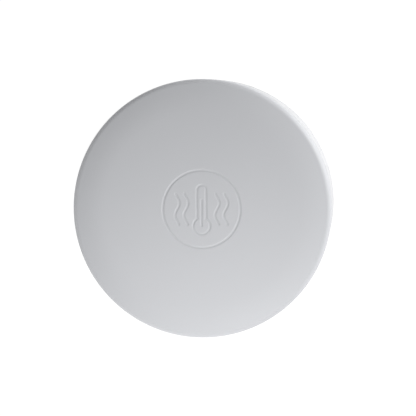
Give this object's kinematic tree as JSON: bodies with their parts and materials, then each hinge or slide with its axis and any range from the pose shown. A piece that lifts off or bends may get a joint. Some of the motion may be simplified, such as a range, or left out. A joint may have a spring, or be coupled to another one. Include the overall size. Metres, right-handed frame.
{
  "type": "heat detector",
  "caption": "Round battery heat alarm on a twist-lock base; the whole front disc is its test button above a ring of air slots.",
  "frame": {"origin": "centre of the mounting base's flat face, the one that is screwed to the ceiling", "axes": "+Z out of the front disc, away from the ceiling; +X along the battery towards its positive contact; +Y towards the first bayonet hook"},
  "size_m": [0.065, 0.065, 0.037],
  "materials": {
    "cap_plastic": "fine satin moulded white",
    "white_plastic": "satin moulded white",
    "grey_plastic": "satin moulded light grey",
    "black_plastic": "matte moulded black",
    "board_laminate": "green solder mask on glass laminate",
    "cell_wrap": "satin shrink wrap round a metal can",
    "nickel": "bright nickel plate",
    "spring_steel": "drawn spring wire",
    "screw_steel": "zinc plated",
    "brass": "rolled sheet",
    "copper": "enamelled winding wire",
    "ceramic": "silvered ceramic",
    "ferrite": "matte ferrite",
    "can_aluminium": "drawn can",
    "bead_epoxy": "gloss black epoxy",
    "lamp_resin": "clear tinted resin",
    "clear_acrylic": "polished clear acrylic"
  },
  "bodies": {
    "base": {"mounting_base": "white_plastic"},
    "head": {"body_shell": "white_plastic", "rear_cover": "white_plastic", "vent_grille": "grey_plastic", "cap_spring_1": "spring_steel", "cap_spring_2": "spring_steel", "cap_spring_3": "spring_steel", "circuit_board": "board_laminate", "battery_cell": "cell_wrap", "battery_contact_positive": "nickel", "battery_contact_negative": "nickel", "battery_spring": "nickel", "sounder_housing": "black_plastic", "sounder_retainer": "black_plastic", "sounder_diaphragm": "brass", "sounder_element": "ceramic", "sounder_contact_1": "nickel", "sounder_contact_2": "nickel", "switch_base": "black_plastic", "switch_cover": "nickel", "thermistor_bead": "bead_epoxy", "thermistor_lead_1": "nickel", "thermistor_lead_2": "nickel", "thermistor_holder": "black_plastic", "status_lamp": "lamp_resin", "light_guide": "clear_acrylic", "microcontroller": "black_plastic", "driver_chip": "black_plastic", "capacitor": "can_aluminium", "boost_coil_core": "ferrite", "boost_coil_winding": "copper", "housing_screw_1": "screw_steel", "housing_screw_2": "screw_steel", "housing_screw_3": "screw_steel", "housing_screw_4": "screw_steel"},
    "test_button": {"front_cap": "cap_plastic"},
    "plunger": {"switch_plunger": "black_plastic"}
  },
  "joints": [
    {"name": "head_twist", "type": "hinge", "parent": "base", "child": "head", "pos_m": [0, 0, 0], "axis": [0, 0, 1], "range_deg": [0, 20]},
    {"name": "button_press", "type": "slide", "parent": "head", "child": "test_button", "axis": [0, 0, -1], "range_m": [0, 0.0006], "stiffness_N_per_m": 2000, "springref_m": -0.0015, "deforming": ["cap_spring_1", "cap_spring_2", "cap_spring_3"]},
    {"name": "plunger_press", "type": "slide", "parent": "head", "child": "plunger", "axis": [0, 0, -1], "range_m": [0, 0.0006]}
  ],
  "couplings": [
    {"joint": "plunger_press", "follows": "button_press", "ratio": 1}
  ]
}
